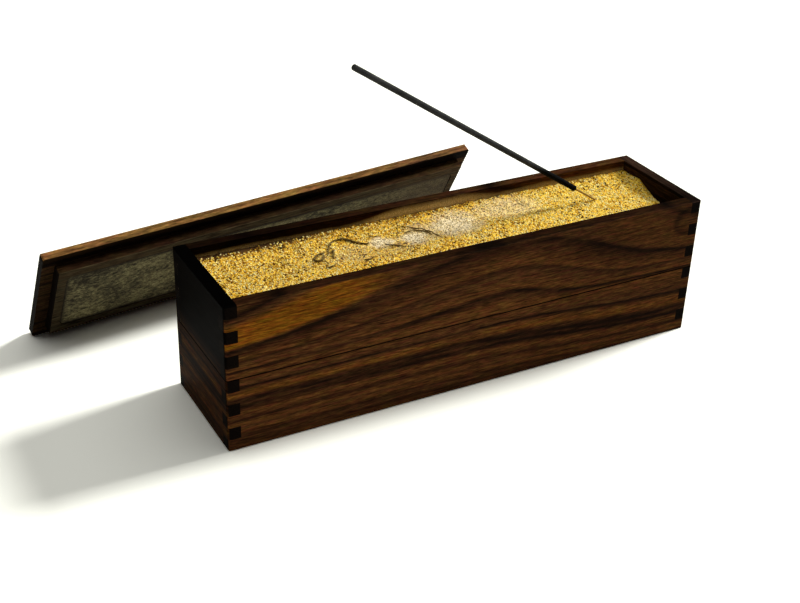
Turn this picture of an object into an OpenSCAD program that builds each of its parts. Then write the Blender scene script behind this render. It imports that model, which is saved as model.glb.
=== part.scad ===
// Walnut incense box: a tray of sand stands on a storage box, both with finger-jointed corners.
// The lid, a rabbeted board with a slate let into its underside, stands taken off behind the box.
// Lengths are in mm and turns in degrees. X runs along the box to the right, Y to its back and
// Z up from the surface that it stands on, with the origin under the middle of the box.

/* [Box] */
// Outer length of the box
box_l = 263.5; // [220:0.5:320]
// Outer width of the box
box_w = 64.5; // [56:0.5:84]
// Thickness of the wall boards, which is also the width of one corner finger
wall_t = 6.35; // [5.5:0.05:7.5]
// Corner fingers in the height of one section, those of both boards counted together
finger_n = 6; // [4:2:8]
// Radius of the upright corners of the box
corner_r = 1.6; // [0.6:0.1:2.4]
// Width of the eased edge round the rim, the foot and the top of the lid
edge_ease = 0.6; // [0.3:0.1:1.2]
// Width of the eased edge on each side of the seam between the two sections
seam_ease = 0.3; // [0.1:0.05:0.6]

/* [Floors] */
// Thickness of the floor boards
floor_t = 6.35; // [5.5:0.05:8]
// Thickness of the tongue that runs round a floor board
tongue_t = 3.2; // [2.4:0.1:4]
// Depth of a tongue in its groove
tongue_d = 3; // [2:0.1:3.5]
// Room left past the tongue and round the board for the wood to move
wood_gap = 0.25; // [0.2:0.05:0.5]
// How far the floor of the tray reaches down into the storage box
nest_d = 3; // [2:0.1:5]
// Gap round the floor of the tray where it sits in the storage box
nest_gap = 0.35; // [0.3:0.05:0.6]

/* [Sand] */
// Mean depth of the sand under the rim of the tray
sand_drop = 8; // [7.6:0.1:12]
// Rise and fall of the sand about its mean height
sand_swell = 1.8; // [0.4:0.1:2]

/* [Lid] */
// Thickness of the lid where it lies on the rim
lid_t = 4.8; // [4:0.1:7]
// Depth of the plug that the rabbet leaves under the lid
plug_h = 5.5; // [4.5:0.1:6.5]
// Gap between the plug and the walls of the tray
plug_gap = 0.4; // [0.3:0.05:0.8]
// Width of the wooden border round the slate
slate_border = 5; // [3.5:0.1:8]
// Thickness of the slate
slate_t = 4; // [2.5:0.1:4.5]
// Radius of the corners of the slate
slate_r = 4; // [2:0.1:8]
// Gap round the slate in its recess
slate_gap = 0.3; // [0.2:0.05:0.6]
// Distance from the back of the box to the middle of the lid
lid_back = 77.5; // [62:0.5:110]
// Distance from the middle of the box to the middle of the lid, to the left
lid_left = 53; // [20:0.5:80]
// Turn of the lid seen from above
lid_yaw = 7.4; // [0:0.1:12]
// Slope of the lid above the level
lid_tilt = 63; // [55:0.5:80]

/* [Incense] */
// Diameter of the incense on the stick
coat_d = 3; // [2.2:0.1:4]
// Length of the incense
coat_l = 155; // [80:1:180]
// Diameter of the bamboo core
core_d = 1.1; // [1:0.1:1.6]
// Length of bare bamboo between the sand and the incense
bare_l = 17; // [14:1:40]
// Length of bamboo in the sand
sunk_l = 28; // [15:1:32]
// Rise of the stick above the level
stick_rise = 33; // [28:1:60]
// Place of the stick to the right of the middle, as a share of the length of the box
stick_share = 0.35; // [0.2:0.01:0.36]
// Place of the stick behind the middle of the box
stick_back = 5; // [0:0.5:12]
// Gap round the bamboo in the sand
core_gap = 0.05; // [0.03:0.01:0.1]

/* [Hidden] */
$fn = 48;
// Overrun of a cut past the face that it opens
over = 1;
// Length of incense past the upper end of the bamboo
cap_l = 3;
// Sand left between the buried end of the stick and the wood
stick_room = 3;
// Squares of the sand's surface along and across the tray
sand_nx = 40;
sand_ny = 10;

section_h = finger_n * wall_t;
box_h = 2 * section_h;
in_l = box_l - 2 * wall_t;
in_w = box_w - 2 * wall_t;

// Underside and upper face of the tray's floor, and the bed of sand on it
tray_floor_z = section_h + floor_t;
sand_mid_z = box_h - sand_drop;

plug_l = in_l - 2 * plug_gap;
plug_w = in_w - 2 * plug_gap;
slate_l = plug_l - 2 * slate_border;
slate_w = plug_w - 2 * slate_border;

// The lid rests on the lower edge of its rim
lid_y = box_w / 2 + lid_back;
lid_z = box_w / 2 * sin(lid_tilt);

// The stick ends above the floor and short of the end wall
stick_y = stick_back;
stick_deep = sand_drop_room(stick_share * box_l, stick_y) - stick_room;
sunk = min(sunk_l, stick_deep / sin(stick_rise));
stick_x = min(stick_share * box_l, in_l / 2 - stick_room - sunk * cos(stick_rise));
stick_z = sand_z(stick_x, stick_y);

walnut = [0.25, 0.15, 0.09];
walnut_end = [0.19, 0.11, 0.07];
walnut_floor = [0.33, 0.21, 0.13];
slate_grey = [0.30, 0.31, 0.27];
sand_gold = [0.80, 0.64, 0.38];
incense_black = [0.12, 0.12, 0.12];
bamboo_tan = [0.72, 0.58, 0.32];

// Height of the sand at a point: it falls to the front, with long swells along the tray
function sand_z(x, y) =
  let (u = 2 * x / in_l, v = 2 * y / in_w)
  sand_mid_z + sand_swell * (
    0.42 * v
    + 0.30 * sin(200 * u + 20)
    + 0.18 * sin(430 * u - 60 * v)
    + 0.10 * cos(150 * u + 300 * v)
  );

// Depth of sand over the tray's floor at a point
function sand_drop_room(x, y) = sand_z(x, y) - tray_floor_z;

// Plan of the box with its rounded corners
module box_plan() {
  square([box_l - 2 * corner_r, box_w], center = true);
  square([box_l, box_w - 2 * corner_r], center = true);
  for (x = [-1, 1], y = [-1, 1])
    translate([x * (box_l / 2 - corner_r), y * (box_w / 2 - corner_r)])
      circle(r = corner_r);
}

// Rectangle with rounded corners
module round_plan(l, w, r) {
  square([l - 2 * r, w], center = true);
  square([l, w - 2 * r], center = true);
  for (x = [-1, 1], y = [-1, 1])
    translate([x * (l / 2 - r), y * (w / 2 - r)])
      circle(r = r);
}

// Bars that ease the four outer edges at one height
module ease_bars(z, ease) {
  bar = ease * sqrt(2);
  for (side = [-1, 1]) {
    translate([0, side * box_w / 2, z])
      rotate([45, 0, 0])
        cube([box_l + 2 * over, bar, bar], center = true);
    translate([side * box_l / 2, 0, z])
      rotate([0, 45, 0])
        cube([bar, box_w + 2 * over, bar], center = true);
  }
}

// Lower and upper end of one finger, run past the board at its ends
function finger_low(j) = j == 0 ? -over : j * wall_t;
function finger_high(j) = j == finger_n - 1 ? section_h + over : (j + 1) * wall_t;

// Sockets in a front or back board, where the fingers of the end boards lie
module long_sockets(z, side) {
  for (end = [-1, 1], j = [1 : 2 : finger_n - 1])
    translate([
      end * (box_l / 2 - wall_t / 2 + over / 2),
      side * (box_w / 2 - wall_t / 2),
      z + (finger_low(j) + finger_high(j)) / 2
    ])
      cube([wall_t + over, wall_t + 2 * over, finger_high(j) - finger_low(j)], center = true);
}

// Sockets in an end board, where the fingers of the front and back boards lie
module end_sockets(z, end) {
  for (side = [-1, 1], j = [0 : 2 : finger_n - 2])
    translate([
      end * (box_l / 2 - wall_t / 2),
      side * (box_w / 2 - wall_t / 2 + over / 2),
      z + (finger_low(j) + finger_high(j)) / 2
    ])
      cube([wall_t + 2 * over, wall_t + over, finger_high(j) - finger_low(j)], center = true);
}

// Groove for a floor's tongue in the four walls of a section, stopped inside the corners
module floor_groove(z) {
  reach = 2 * (tongue_d + wood_gap);
  translate([0, 0, z + floor_t - tongue_t / 2])
    cube([in_l + reach, in_w + reach, tongue_t], center = true);
}

// What is cut from every wall of a section that stands at a height
module wall_cuts(z, foot_ease, rim_ease) {
  floor_groove(z);
  ease_bars(z, foot_ease);
  ease_bars(z + section_h, rim_ease);
}

// One front or back board, by the side that it is on
module long_board(z, side, foot_ease, rim_ease) {
  difference() {
    intersection() {
      translate([0, 0, z])
        linear_extrude(section_h) box_plan();
      translate([0, side * (box_w / 2 - wall_t / 2), z + section_h / 2])
        cube([box_l + 2 * over, wall_t, section_h + 2 * over], center = true);
    }
    long_sockets(z, side);
    wall_cuts(z, foot_ease, rim_ease);
  }
}

// One end board, by the end that it is on
module end_board(z, end, foot_ease, rim_ease) {
  difference() {
    intersection() {
      translate([0, 0, z])
        linear_extrude(section_h) box_plan();
      translate([end * (box_l / 2 - wall_t / 2), 0, z + section_h / 2])
        cube([wall_t, box_w + 2 * over, section_h + 2 * over], center = true);
    }
    end_sockets(z, end);
    wall_cuts(z, foot_ease, rim_ease);
  }
}

// Floor of a section: a field that may hang below the walls, and a tongue all round it
module floor_board(z, hang, gap) {
  translate([0, 0, z + floor_t - tongue_t / 2])
    cube([in_l + 2 * tongue_d, in_w + 2 * tongue_d, tongue_t], center = true);
  translate([0, 0, z + (floor_t - hang) / 2])
    cube([in_l - 2 * gap, in_w - 2 * gap, floor_t + hang], center = true);
}

// Storage box, the lower section
module storage_front() {
  color(walnut) long_board(0, -1, edge_ease, seam_ease);
}

module storage_back() {
  color(walnut) long_board(0, 1, edge_ease, seam_ease);
}

module storage_left() {
  color(walnut_end) end_board(0, -1, edge_ease, seam_ease);
}

module storage_right() {
  color(walnut_end) end_board(0, 1, edge_ease, seam_ease);
}

module storage_floor() {
  color(walnut_floor) floor_board(0, 0, wood_gap);
}

// Sand tray, the upper section, whose floor nests in the mouth of the storage box
module tray_front() {
  color(walnut) long_board(section_h, -1, seam_ease, edge_ease);
}

module tray_back() {
  color(walnut) long_board(section_h, 1, seam_ease, edge_ease);
}

module tray_left() {
  color(walnut_end) end_board(section_h, -1, seam_ease, edge_ease);
}

module tray_right() {
  color(walnut_end) end_board(section_h, 1, seam_ease, edge_ease);
}

module tray_floor() {
  color(walnut_floor) floor_board(section_h, nest_d, nest_gap);
}

// Sand that fills the tray, with an uneven surface
module sand_heap() {
  nx = sand_nx;
  ny = sand_ny;
  row = ny + 1;
  top = [
    for (i = [0 : nx], k = [0 : ny])
      let (x = in_l * (i / nx - 0.5), y = in_w * (k / ny - 0.5))
      [x, y, sand_z(x, y)]
  ];
  foot = [
    for (x = [-1, 1], y = [-1, 1])
      [x * in_l / 2, y * in_w / 2, tray_floor_z]
  ];
  c = len(top);
  surface = [
    for (i = [0 : nx - 1], k = [0 : ny - 1])
      let (a = i * row + k)
      each [[a, a + 1, a + row + 1], [a, a + row + 1, a + row]]
  ];
  left = [c, c + 1, for (k = [ny : -1 : 0]) k];
  right = [c + 3, c + 2, for (k = [0 : ny]) nx * row + k];
  front = [c + 2, c, for (i = [0 : nx]) i * row];
  back = [c + 1, c + 3, for (i = [nx : -1 : 0]) i * row + ny];
  polyhedron(
    points = concat(top, foot),
    faces = concat(surface, [left, right, front, back, [c, c + 2, c + 3, c + 1]])
  );
}

// Puts a piece of the stick in place, from upright on the sand
module on_stick() {
  translate([stick_x, stick_y, stick_z])
    rotate([0, stick_rise - 90, 0])
      children();
}

module sand_bed() {
  color(sand_gold)
    difference() {
      sand_heap();
      on_stick()
        translate([0, 0, -sunk - core_gap])
          cylinder(d = core_d + 2 * core_gap, h = sunk + core_gap + bare_l);
    }
}

// Puts a piece of the lid in place, from its closed position with the rim's underside at zero
module on_lid() {
  translate([-lid_left, lid_y, lid_z])
    rotate([-lid_tilt, 0, lid_yaw])
      children();
}

// Rim board with the plug under it, and the recess for the slate
module lid_board() {
  color(walnut)
    on_lid()
      difference() {
        union() {
          linear_extrude(lid_t) box_plan();
          translate([0, 0, -plug_h / 2])
            cube([plug_l, plug_w, plug_h], center = true);
        }
        translate([0, 0, -plug_h - over])
          linear_extrude(slate_t + over)
            round_plan(slate_l + 2 * slate_gap, slate_w + 2 * slate_gap, slate_r + slate_gap);
        ease_bars(lid_t, edge_ease);
      }
}

module slate_tile() {
  color(slate_grey)
    on_lid()
      translate([0, 0, -plug_h])
        linear_extrude(slate_t)
          round_plan(slate_l, slate_w, slate_r);
}

// Bamboo from its end in the sand up into the incense
module bamboo_core() {
  color(bamboo_tan)
    on_stick()
      translate([0, 0, -sunk])
        cylinder(d = core_d, h = sunk + bare_l + coat_l - cap_l);
}

// Incense round the bamboo, cut blunt at both ends
module incense_coat() {
  tip = bare_l + coat_l;
  blunt = (coat_d - core_d) / 4;
  color(incense_black)
    on_stick()
      rotate_extrude()
        polygon([
          [core_d / 2, bare_l],
          [coat_d / 2 - blunt, bare_l],
          [coat_d / 2, bare_l + blunt],
          [coat_d / 2, tip - blunt],
          [coat_d / 2 - blunt, tip],
          [0, tip],
          [0, tip - cap_l],
          [core_d / 2, tip - cap_l]
        ]);
}

storage_front();
storage_back();
storage_left();
storage_right();
storage_floor();
tray_front();
tray_back();
tray_left();
tray_right();
tray_floor();
sand_bed();
lid_board();
slate_tile();
bamboo_core();
incense_coat();
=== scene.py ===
"""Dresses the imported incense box: walnut, golden sand, ash, slate and incense on a white floor."""

import logging
import math
import random
from dataclasses import dataclass
from enum import Enum
from typing import Any, Iterable, Sequence

import bmesh
import bpy
from bpy.types import Material, NodeSocket, NodeTree, Object
from mathutils import Euler, Matrix, Vector, noise


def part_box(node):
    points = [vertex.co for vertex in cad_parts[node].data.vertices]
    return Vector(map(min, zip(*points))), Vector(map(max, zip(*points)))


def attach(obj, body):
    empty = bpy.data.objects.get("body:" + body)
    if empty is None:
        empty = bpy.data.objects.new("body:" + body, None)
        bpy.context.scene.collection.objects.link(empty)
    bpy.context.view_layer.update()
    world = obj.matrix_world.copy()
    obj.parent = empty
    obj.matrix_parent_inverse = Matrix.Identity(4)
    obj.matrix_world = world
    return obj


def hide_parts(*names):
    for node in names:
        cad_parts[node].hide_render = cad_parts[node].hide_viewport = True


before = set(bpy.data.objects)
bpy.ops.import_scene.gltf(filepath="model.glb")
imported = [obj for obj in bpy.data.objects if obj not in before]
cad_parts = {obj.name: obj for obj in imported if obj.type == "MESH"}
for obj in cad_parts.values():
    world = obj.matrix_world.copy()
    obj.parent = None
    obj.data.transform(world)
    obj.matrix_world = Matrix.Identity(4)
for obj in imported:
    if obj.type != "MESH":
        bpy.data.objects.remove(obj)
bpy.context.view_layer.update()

LOG = logging.getLogger("incense_box")
MM = 0.001
# a place in millimetres that lies off every board
NOWHERE = 1000.0
# points of a mesh that lie closer than this are one, in metres
SAME_POINT = 0.00001
# edges sharper than this are sanded
SHARP = math.radians(40)
# places of the colour sockets on Blender's Mix node, which share their names with other sockets
MIX_A = 6
MIX_B = 7
MIX_OUT = 2
# most of a noise texture lies between these values
NOISE_SPAN = (0.3, 0.7)


def linear(hex_colour: str) -> tuple[float, float, float, float]:
    """Turns an sRGB hex colour into linear light.

    Args:
        hex_colour: six hex digits after a hash sign.

    Returns:
        Red, green, blue and a full alpha.
    """
    parts = [int(hex_colour[i:i + 2], 16) / 255 for i in (1, 3, 5)]
    lit = [c / 12.92 if c <= 0.04045 else ((c + 0.055) / 1.055) ** 2.4 for c in parts]
    return lit[0], lit[1], lit[2], 1.0


def part_way(value: float, first: float, last: float) -> float:
    """How far a value has come from the first place to the last one, held between 0 and 1."""
    return min(1.0, max(0.0, (value - first) / (last - first)))


def add_node(
    tree: NodeTree,
    kind: str,
    inputs: dict[int | str, Any] | Sequence[Any] = (),
    stops: Sequence[tuple[float, str]] = (),
    **settings: Any,
) -> bpy.types.bpy_prop_collection:
    """Adds a shader node with its settings, constants and links.

    Args:
        tree: node tree that takes the node.
        kind: Blender's name of the node type, after the word ShaderNode.
        inputs: sockets to link from or constants to set, by socket name or number, or in the order of the
            node's sockets. For MapRange: the value, the two ends it lies between and the two it gets.
        stops: place and hex colour of each stop, for a colour ramp.
        settings: properties of the node itself.

    Returns:
        The outputs of the new node.
    """
    node = tree.nodes.new("ShaderNode" + kind)
    for name, value in settings.items():
        setattr(node, name, value)
    for key, value in inputs.items() if isinstance(inputs, dict) else enumerate(inputs):
        if isinstance(value, NodeSocket):
            tree.links.new(value, node.inputs[key])
        else:
            node.inputs[key].default_value = value
    for number, (place, colour) in enumerate(stops):
        ramp = node.color_ramp.elements
        stop = ramp[number] if number < len(ramp) else ramp.new(place)
        stop.position = place
        stop.color = linear(colour)
    return node.outputs


def new_material(name: str) -> tuple[Material, NodeTree]:
    """Makes an empty node material.

    Args:
        name: name of the finish.

    Returns:
        The material and its cleared node tree.
    """
    material = bpy.data.materials.new(name)
    material.use_nodes = True
    material.node_tree.nodes.clear()
    return material, material.node_tree


def close_finish(
    tree: NodeTree,
    colour: NodeSocket,
    height: NodeSocket,
    relief: tuple[float, float],
    shine: dict[str, Any],
) -> None:
    """Ends a finish: joins its colour, its fine relief and its shine to the surface.

    Args:
        tree: node tree of the material.
        colour: socket with the colour.
        height: socket with the height of the relief.
        relief: strength of the relief from 0 to 1, and its depth in millimetres.
        shine: the other values of the shader, by Blender's names.
    """
    strength, depth_mm = relief
    bump = add_node(tree, "Bump", {"Height": height, "Strength": strength, "Distance": depth_mm * MM})[0]
    shader = add_node(tree, "BsdfPrincipled", {"Base Color": colour, "Normal": bump, **shine})[0]
    add_node(tree, "OutputMaterial", {"Surface": shader})


def finish_mesh(name: str, shape: bmesh.types.BMesh, smooth: bool) -> Object:
    """Turns a bmesh into an object at the origin.

    Args:
        name: name of the piece.
        shape: its shape, in metres in the part's frame; freed here.
        smooth: True for smooth shading.

    Returns:
        The new object, linked to the scene.
    """
    mesh = bpy.data.meshes.new(name)
    shape.to_mesh(mesh)
    shape.free()
    for polygon in mesh.polygons:
        polygon.use_smooth = smooth
    piece = bpy.data.objects.new(name, mesh)
    bpy.context.scene.collection.objects.link(piece)
    return piece


def dress(piece: Object, material: Material) -> None:
    """Gives a piece one material, in place of what it has."""
    piece.data.materials.clear()
    piece.data.materials.append(material)


def ease_edges(piece: Object, width_mm: float) -> None:
    """Sands the sharp edges of a board that comes from the CAD model.

    Args:
        piece: the board's object; its mesh stays as it is and only gets modifiers.
        width_mm: width of the sanded edge.
    """
    weld = piece.modifiers.new("weld", "WELD")
    weld.merge_threshold = SAME_POINT
    bevel = piece.modifiers.new("sanded_edges", "BEVEL")
    bevel.width = width_mm * MM
    bevel.segments = 2
    bevel.limit_method = "ANGLE"
    bevel.angle_limit = SHARP


@dataclass(frozen=True)
class BoardLay:
    """How one board was cut from the plank: the place of its grain, its figure, and where smoky darkening
    and painted shade and light lie.

    The grain runs along the lay's x, the inner side of the board faces its y, and the growth rings are
    stacked along its z. Heights and depths are in millimetres.
    """

    middle: tuple[float, float, float] = (0.0, 0.0, 0.0)
    turn: tuple[float, float, float] = (0.0, 0.0, 0.0)
    # each cut has other patches of grain; then the shares of the arched figure, the golden streak and the
    # knot
    cut: float = 0.0
    crown: float = 0.0
    streak: float = 0.0
    knot: float = 0.0
    # tone of the board, its turn towards yellow, its saturation, its tone at the right, and painted shade
    # towards its top
    shade: float = 1.0
    yellow: float = 0.0
    rich: float = 1.0
    dark_right: float = 1.0
    shade_above: float = 1.0
    # where the rim, the seam, the painted shade under the lid's rim, the dust and painted bounce light, the
    # inner side and the wood rubbed by slate are
    rim_height: float = NOWHERE
    seam_height: float = -NOWHERE
    shade_below: float = -NOWHERE
    dust_and_bounce_height: float = -NOWHERE
    dust_and_bounce_middle: float = 0.0
    inner_depth: float = -NOWHERE
    rubbed_depth: float = NOWHERE
    # factors on the smoke and painted shade at these two places along the grain: painted light and shade
    # that change along the board
    clear_mm: tuple[float, float] = (50.0, 115.0)
    clear: tuple[float, float] = (1.0, 1.0)

    def grain_axis(self) -> Vector:
        """The direction of the grain in the part's frame."""
        return Euler(self.turn).to_matrix() @ Vector((1, 0, 0))

    def place(
        self, tree: NodeTree, spot: NodeSocket, unit: Sequence[float] = (1.0, 1.0, 1.0)
    ) -> NodeSocket:
        """Turns a place in the part's frame into a place on the board.

        Args:
            tree: node tree of the material.
            spot: place in the part's frame.
            unit: what counts as one along each axis of the board, in millimetres.

        Returns:
            Socket with the place on the board.
        """
        where = tuple(MM * c for c in self.middle)
        size = tuple(MM * c for c in unit)
        inputs = {"Vector": spot, "Location": where, "Rotation": self.turn, "Scale": size}
        return add_node(tree, "Mapping", inputs, vector_type="TEXTURE")[0]


class WoodTone(Enum):
    """The browns of oiled black walnut, from the late wood of a year to the golden streaks."""

    LINE = "#1b110a"
    DEEP = "#392112"
    BROWN = "#54341b"
    WARM = "#69411e"
    HONEY = "#774a1c"
    GOLD = "#8c5613"
    CUT_END = "#0d0805"


@dataclass(frozen=True)
class Walnut:
    """Black walnut, planed, sanded and oiled to a satin.

    To the eye that is a deep brown with long near-black ring lines, golden streaks between them, fine dark
    pores drawn out along the grain, and cut ends that drink the oil and turn almost black. Smoke has
    darkened the rim, and painted shade darkens the inner sides, the lid's underside and the top of the
    left end.
    """

    roughness: tuple[float, float] = (0.5, 0.7)
    ior: float = 1.5
    specular: float = 0.008
    relief: tuple[float, float] = (0.35, 0.12)
    # the tone that smoke leaves on the rim and that smoke and painted shade leave on the inner sides, the
    # painted shade under the lid's rim, and how far under the rim, the inner sides and the edge of that
    # shade they set in
    smoke_and_shade: float = 0.25
    inner_shade: float = 0.05
    rim_soft_mm: tuple[float, float] = (0.7, 0.05)
    inner_soft_mm: tuple[float, float] = (0.4, 0.1)
    shade_soft_mm: float = 0.5
    # the dark line of the seam, grime in the joint and painted shade of the gap between the sections; where
    # a board darkens along its grain, and the heights over which painted shade darkens it towards its top
    seam_mm: tuple[float, float] = (0.2, 0.55)
    seam_dark: float = 0.08
    darker_mm: tuple[float, float] = (15.0, 55.0)
    shade_above_mm: tuple[float, float] = (23.0, 46.0)
    # dust of sand and painted bounce light from the sand lie on the inner walls, higher in one heap than
    # elsewhere: their colour, the height in which they thin out, how uneven they are, the heap's height and
    # how far along the wall it reaches, and the specks in them
    dust_and_bounce: str = "#dac195"
    dust_and_bounce_mm: float = 4.0
    dust_and_bounce_sway_mm: float = 6.0
    heap_mm: float = 3.8
    heap_reach_mm: tuple[float, float] = (16.0, 42.0)
    dust_and_bounce_specks: tuple[float, float, float, float] = (0.3, 0.6, 0.4, 1.0)
    # the dust of the slate, rubbed into the fibres of the wood around it
    stone: str = "#5f583f"
    rubbed: tuple[float, float, float, float] = (0.35, 0.65, 0.0, 0.5)
    rubbed_soft_mm: float = 0.2
    # how squarely a cut end faces along the grain, and how much its round pores change its tone
    end_facing: tuple[float, float] = (0.72, 0.92)
    end_dots: tuple[float, float] = (0.5, 1.7)
    # the years of the plank: height across the rings and tone of the wood; past the last year they turn
    # back
    years: tuple[tuple[float, WoodTone], ...] = (
        (0.0, WoodTone.WARM),
        (4.0, WoodTone.DEEP),
        (5.6, WoodTone.BROWN),
        (7.6, WoodTone.DEEP),
        (9.8, WoodTone.WARM),
        (11.5, WoodTone.BROWN),
        (13.4, WoodTone.WARM),
        (15.6, WoodTone.DEEP),
        (19.4, WoodTone.WARM),
        (21.6, WoodTone.DEEP),
        (22.6, WoodTone.LINE),
        (24.0, WoodTone.DEEP),
        (25.2, WoodTone.LINE),
        (27.2, WoodTone.DEEP),
        (29.2, WoodTone.HONEY),
        (31.6, WoodTone.WARM),
        (32.8, WoodTone.DEEP),
        (33.4, WoodTone.LINE),
        (34.0, WoodTone.BROWN),
        (40.4, WoodTone.WARM),
        (41.4, WoodTone.DEEP),
        (41.9, WoodTone.LINE),
        (42.4, WoodTone.WARM),
        (44.6, WoodTone.BROWN),
        (45.2, WoodTone.DEEP),
        (45.7, WoodTone.WARM),
        (48.4, WoodTone.DEEP),
        (49.1, WoodTone.LINE),
        (49.8, WoodTone.BROWN),
        (55.7, WoodTone.BROWN),
        (56.4, WoodTone.LINE),
        (57.4, WoodTone.BROWN),
    )
    turn_back_mm: float = 62.0
    sway_mm: float = 1.2
    # where the lines fade into plain brown, and how far
    fading: tuple[float, float, float, float] = (0.5, 0.68, 0.0, 0.7)
    # the golden streak: how its lower and upper edges set in across the rings, and how it sets in towards
    # the left and the right end of the board, with its strength there
    streak_edges_mm: tuple[tuple[float, float], ...] = ((49.3, 50.5), (55.6, 53.8))
    streak_ends: tuple[tuple[float, float, float], ...] = ((-38.0, -76.0, 0.95), (58.0, 84.0, 0.1))
    # the arched figure of a flat-sawn board: where the arch stands and how fast it dies away
    arch_share: float = 0.733
    arch_foot_mm: float = 38.9
    arch_middle_mm: float = 15.7
    arch_left_mm: float = 90.0
    arch_right_mm: float = 40.7
    arch_spread: float = 4.0
    arch_power: float = 1.641
    # the lower lines dip towards one end
    dip_mm: float = 11.5
    dip_height_mm: float = 13.9
    dip_reach_mm: float = 21.2
    dip_from_mm: float = 51.9
    dip_length_mm: float = 25.0
    # a branch left a small loop in the figure: its place, its half size, and the dark ring by its reach
    knot_at_mm: tuple[float, float, float] = (125.5, 0.0, 65.8)
    knot_half_mm: tuple[float, float, float] = (11.5, 1.0, 9.2)
    knot_ring: tuple[tuple[float, str], ...] = (
        (0.35, "#000000"), (0.7, "#ffffff"), (0.82, "#ffffff"), (1.0, "#000000"),
    )
    # length, depth and height of the patches in each layer of the grain, and how finely they break up;
    # pores are a fifth of a millimetre wide and are drawn about twice as coarse, to show
    layers: tuple[tuple[str, tuple[float, float, float], float], ...] = (
        ("sway", (60.0, 30.0, 16.0), 4.0),
        ("fading", (42.0, 20.0, 5.0), 2.0),
        ("hue", (9.0, 4.0, 1.4), 2.0),
        ("strands", (34.0, 2.0, 0.7), 2.0),
        ("fibres", (8.0, 1.0, 0.75), 3.0),
        ("hairs", (3.2, 0.5, 0.38), 2.0),
        ("pores", (6.0, 0.45, 0.4), 1.0),
        ("dots", (0.7, 0.7, 0.7), 2.0),
    )
    layer_roughness: float = 0.6
    # which layers change the tone of the wood: between which of their values, and from what to what
    fibre_shades: tuple[tuple[str, float, float, float, float], ...] = (
        ("strands", 0.52, 0.68, 1.05, 0.5),
        ("fibres", *NOISE_SPAN, 0.4, 1.6),
        ("hairs", *NOISE_SPAN, 0.6, 1.4),
        ("pores", 0.55, 0.68, 1.0, 0.5),
    )
    hue_range: tuple[float, float] = (0.48, 0.52)

    def growth_level(
        self, tree: NodeTree, along: NodeSocket, up: NodeSocket, crown: float
    ) -> NodeSocket:
        """Works out which growth ring a point of the board belongs to.

        Args:
            tree: node tree of the material.
            along: distance along the grain in millimetres.
            up: height across the rings in millimetres.
            crown: share of the arched figure, 0 for straight grain.

        Returns:
            Socket with the ring height in millimetres, straightened out.
        """
        # each step names its result, the operation and its two terms, which may be earlier results
        steps: tuple[tuple[str, str, Any, Any], ...] = (
            ("above", "SUBTRACT", "up", self.arch_foot_mm),
            ("above", "MAXIMUM", "above", 0.0),
            ("aside", "SUBTRACT", "along", self.arch_middle_mm),
            ("half", "LESS_THAN", "aside", 0.0),
            ("half", "MULTIPLY", "half", self.arch_left_mm - self.arch_right_mm),
            ("half", "ADD", "half", self.arch_right_mm),
            ("width", "MULTIPLY", "above", self.arch_spread),
            ("width", "ADD", "width", "half"),
            ("reach", "ABSOLUTE", "aside", 0.0),
            ("reach", "DIVIDE", "reach", "width"),
            ("reach", "POWER", "reach", self.arch_power),
            ("reach", "MULTIPLY", "reach", -1.0),
            ("arch", "EXPONENT", "reach", 0.0),
            ("lifted", "MULTIPLY", "above", self.arch_share * crown),
            ("lifted", "MULTIPLY", "lifted", "arch"),
            ("off", "SUBTRACT", "up", self.dip_height_mm),
            ("off", "DIVIDE", "off", self.dip_reach_mm),
            ("off", "MULTIPLY", "off", "off"),
            ("off", "MULTIPLY", "off", -1.0),
            ("near", "EXPONENT", "off", 0.0),
            ("far", "SUBTRACT", self.dip_from_mm, "along"),
            ("far", "DIVIDE", "far", self.dip_length_mm),
            ("far", "EXPONENT", "far", 0.0),
            ("far", "ADD", "far", 1.0),
            ("dip", "DIVIDE", self.dip_mm * crown, "far"),
            ("dip", "MULTIPLY", "dip", "near"),
            ("level", "SUBTRACT", "up", "lifted"),
            ("level", "ADD", "level", "dip"),
        )
        known: dict[Any, Any] = {"along": along, "up": up}
        for result, operation, first, second in steps:
            terms = (known.get(first, first), known.get(second, second))
            known[result] = add_node(tree, "Math", terms, operation=operation)[0]
        return known["level"]

    def figure(
        self, tree: NodeTree, lay: BoardLay, point: dict[str, NodeSocket]
    ) -> NodeSocket:
        """Draws the years, the golden streaks and the knot.

        Args:
            tree: node tree of the material.
            lay: how the board was cut from the plank.
            point: sockets with the place on the board and the layers of the grain there, by name.

        Returns:
            Socket with the colour of the wood before its fibres.
        """
        sway = add_node(tree, "MapRange", (point["sway"], 0.0, 1.0, -self.sway_mm, self.sway_mm))[0]
        swayed = add_node(tree, "Math", (point["up"], sway), operation="ADD")[0]
        level = self.growth_level(tree, point["along"], swayed, lay.crown)
        turned = add_node(tree, "Math", (level, self.turn_back_mm), operation="PINGPONG")[0]
        year = add_node(tree, "Math", (turned, self.turn_back_mm), operation="DIVIDE")[0]
        stops = tuple((height / self.turn_back_mm, tone.value) for height, tone in self.years)
        colour = add_node(tree, "ValToRGB", (year,), stops=stops)[0]
        fading = add_node(tree, "MapRange", (point["fading"], *self.fading))[0]

        # the streak lies in one year, strong at the left end of the arch and weak at its right end
        low, high = ((level, *edge) for edge in self.streak_edges_mm)
        left, right = (
            (point["along"], none, full, 0.0, most * lay.streak) for none, full, most in self.streak_ends
        )
        below = (point["up"], *(lay.rim_height - soft for soft in reversed(self.rim_soft_mm)))
        streak, high, below, left, right = (
            add_node(tree, "MapRange", edge, interpolation_type="SMOOTHSTEP")[0]
            for edge in (low, high, below, left, right)
        )
        ends = add_node(tree, "Math", (left, right), operation="ADD")[0]
        for share in (high, below, ends):
            streak = add_node(tree, "Math", (streak, share), operation="MULTIPLY")[0]

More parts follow.
